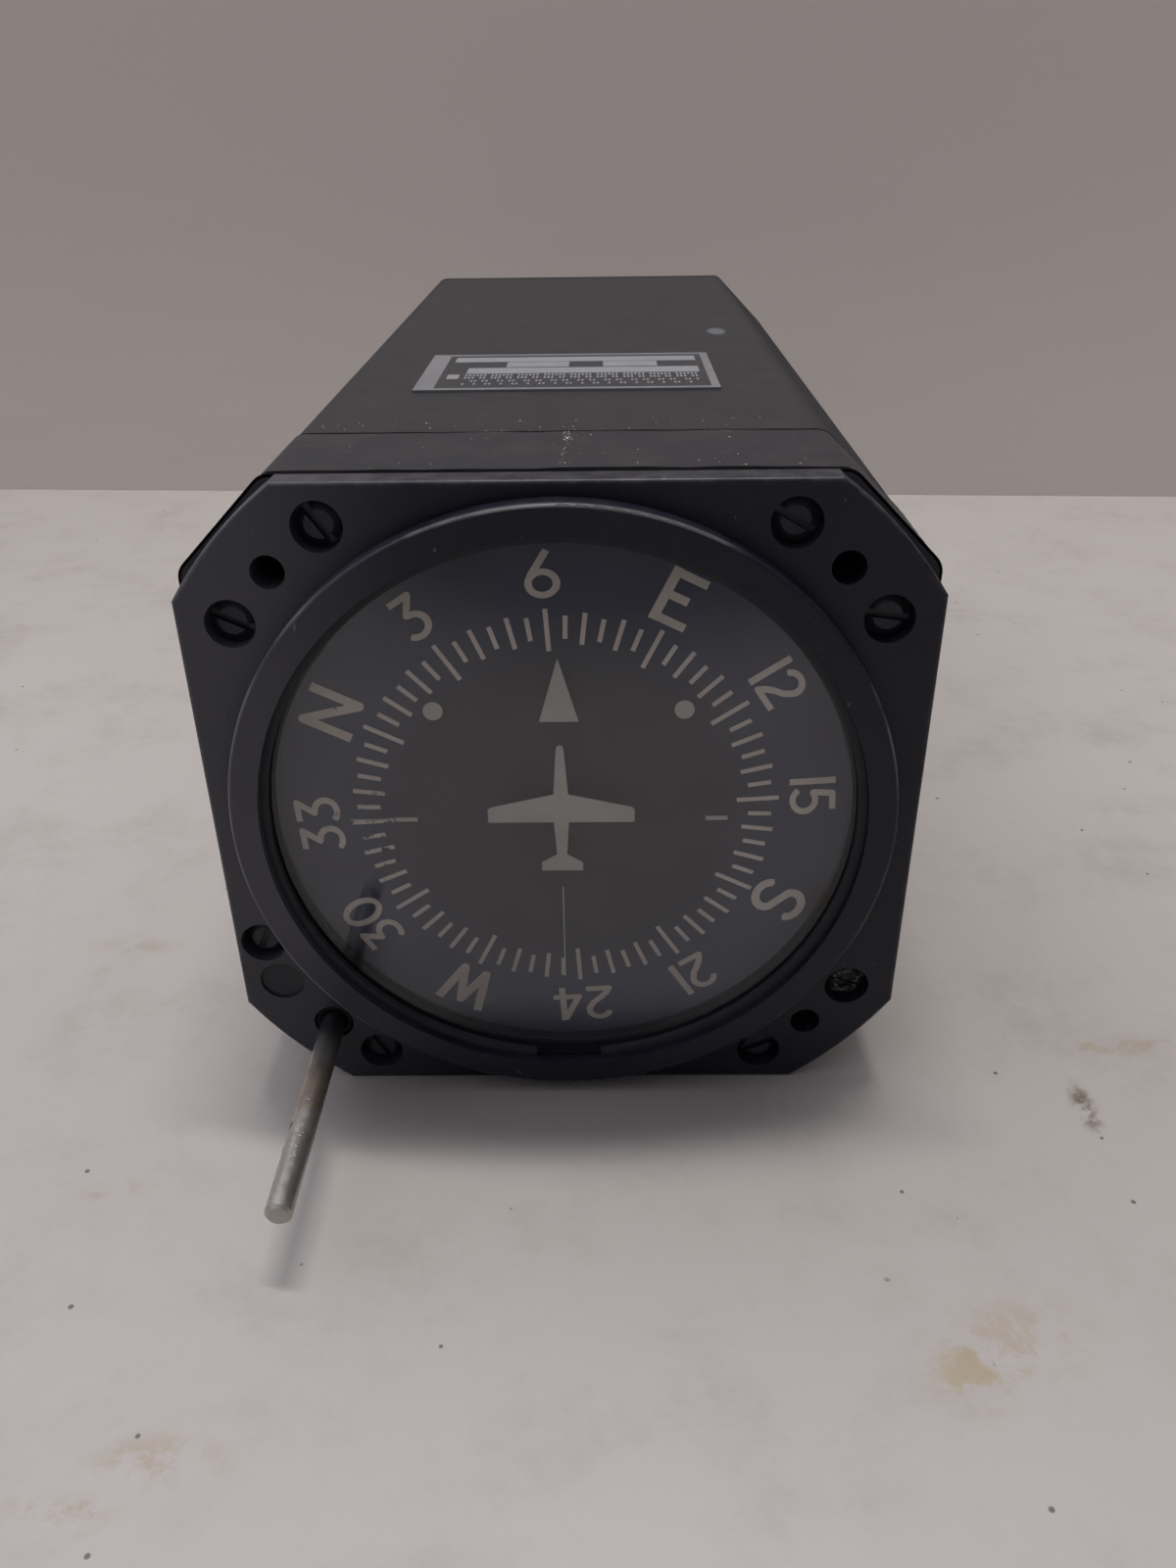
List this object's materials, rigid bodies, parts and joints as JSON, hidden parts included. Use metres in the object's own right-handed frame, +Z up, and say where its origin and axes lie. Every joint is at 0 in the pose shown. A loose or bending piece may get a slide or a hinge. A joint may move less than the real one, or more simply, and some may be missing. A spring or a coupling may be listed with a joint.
{
  "type": "directional gyro indicator",
  "caption": "Directional gyro: rectangular flange with a round glazed compass card, a setting shaft and a long eight-sided case with an air-driven gyro in gimbals inside.",
  "frame": {"origin": "centre of the flange front face, on the axis of the ring round the glass", "axes": "+X right as seen from the front, +Y into the case, +Z up"},
  "size_m": [0.0852, 0.2168, 0.0824],
  "materials": {
    "bezel_paint": "satin black enamel, chipped at the edges",
    "case_paint": "smooth black enamel, rubbed grey",
    "blackened_steel": "blackened screws",
    "worn_steel": "worn bare steel",
    "bare_steel": "ground",
    "shaft_steel": "ground, stained brown in the middle",
    "polished_steel": "polished",
    "clear_glass": "clear",
    "glass_print": "screen print",
    "card_paint": "matt blue-black",
    "card_ink": "aged luminous paint",
    "rubber": "matt",
    "tape": "dull adhesive tape",
    "plate": "printed plate",
    "bronze": "plain bearing bronze",
    "brass": "machined",
    "aluminium": "cast and machined",
    "paper": "folded filter paper"
  },
  "bodies": {
    "case": {"front_bezel": "bezel_paint", "glass_snap_ring": "blackened_steel", "cover_glass": "clear_glass", "glass_gasket": "rubber", "index_marks": "glass_print", "flange_screws": "blackened_steel", "worn_screw": "worn_steel", "blind_plug": "bezel_paint", "case_gaskets": "rubber", "case_body": "case_paint", "seam_tape": "tape", "data_plate": "plate", "shaft_bush": "bronze", "shaft_seal": "rubber", "bearing_bridge": "aluminium", "mount_screws": "bare_steel", "card_bearings": "polished_steel", "pivot_posts": "bare_steel", "gyro_frame": "aluminium", "yaw_bearings": "polished_steel", "air_duct": "brass", "air_manifold": "aluminium", "air_filter": "paper", "filter_cap": "aluminium", "filter_stud": "bare_steel", "suction_pipe": "brass", "rear_cover": "case_paint", "rear_screws": "blackened_steel", "suction_port": "bare_steel", "inlet_screen": "bare_steel", "return_spring": "bare_steel"},
    "outer_gimbal": {"gimbal_ring": "aluminium", "gimbal_pivots": "polished_steel", "heading_gear": "brass", "heading_gear_hub": "brass", "heading_gear_screws": "bare_steel", "tilt_bearings": "polished_steel"},
    "inner_gimbal": {"rotor_housing": "aluminium", "tilt_pivots": "polished_steel", "rotor_bearings": "polished_steel", "housing_caps": "aluminium", "cap_screws": "bare_steel", "air_jets": "brass"},
    "rotor": {"rotor_wheel": "brass", "rotor_shaft": "polished_steel"},
    "compass_card": {"card_disc": "card_paint", "card_graduations": "card_ink", "card_hub": "aluminium", "card_shaft": "polished_steel", "card_gear": "brass", "card_gear_hub": "brass", "card_gear_screws": "bare_steel", "setting_wheel": "brass"},
    "idler": {"idler_gear": "brass", "idler_bush": "bronze"},
    "collar": {"caging_collar": "bare_steel"},
    "knob_shaft": {"setting_shaft": "shaft_steel", "setting_pinion": "bare_steel", "shaft_clips": "bare_steel"},
    "lever": {"caging_lever": "aluminium"}
  },
  "joints": [
    {"name": "gimbal_yaw", "type": "hinge", "parent": "case", "child": "outer_gimbal", "pos_m": [0, 0.073, 0], "axis": [0, 0, 1], "continuous": true},
    {"name": "card_spin", "type": "hinge", "parent": "case", "child": "compass_card", "pos_m": [0, 0.02, 0], "axis": [0, 1, 0], "continuous": true},
    {"name": "idler_spin", "type": "hinge", "parent": "case", "child": "idler", "pos_m": [-0.02105, 0.037, -0.02542], "axis": [0, 1, 0], "continuous": true},
    {"name": "housing_tilt", "type": "hinge", "parent": "outer_gimbal", "child": "inner_gimbal", "pos_m": [0, 0.073, 0], "axis": [1, 0, 0], "range_deg": [-55, 55]},
    {"name": "rotor_spin", "type": "hinge", "parent": "inner_gimbal", "child": "rotor", "pos_m": [0, 0.073, 0], "axis": [0, 1, 0], "continuous": true},
    {"name": "shaft_push", "type": "slide", "parent": "case", "child": "collar", "axis": [0, 1, 0], "range_m": [0, 0.005], "stiffness_N_per_m": 400, "springref_m": -0.002, "deforming": ["return_spring"]},
    {"name": "shaft_turn", "type": "hinge", "parent": "collar", "child": "knob_shaft", "pos_m": [-0.03143, 0.02, -0.03143], "axis": [0, 1, 0], "continuous": true},
    {"name": "lever_swing", "type": "hinge", "parent": "case", "child": "lever", "pos_m": [-0.024, 0.0563, -0.036], "axis": [0, 0, 1], "range_deg": [-37.5, 0]}
  ],
  "couplings": [
    {"joint": "card_spin", "follows": "gimbal_yaw", "ratio": -1},
    {"joint": "idler_spin", "follows": "gimbal_yaw", "ratio": 2.6667},
    {"joint": "lever_swing", "follows": "shaft_push", "rad_per_m": -129.82}
  ]
}
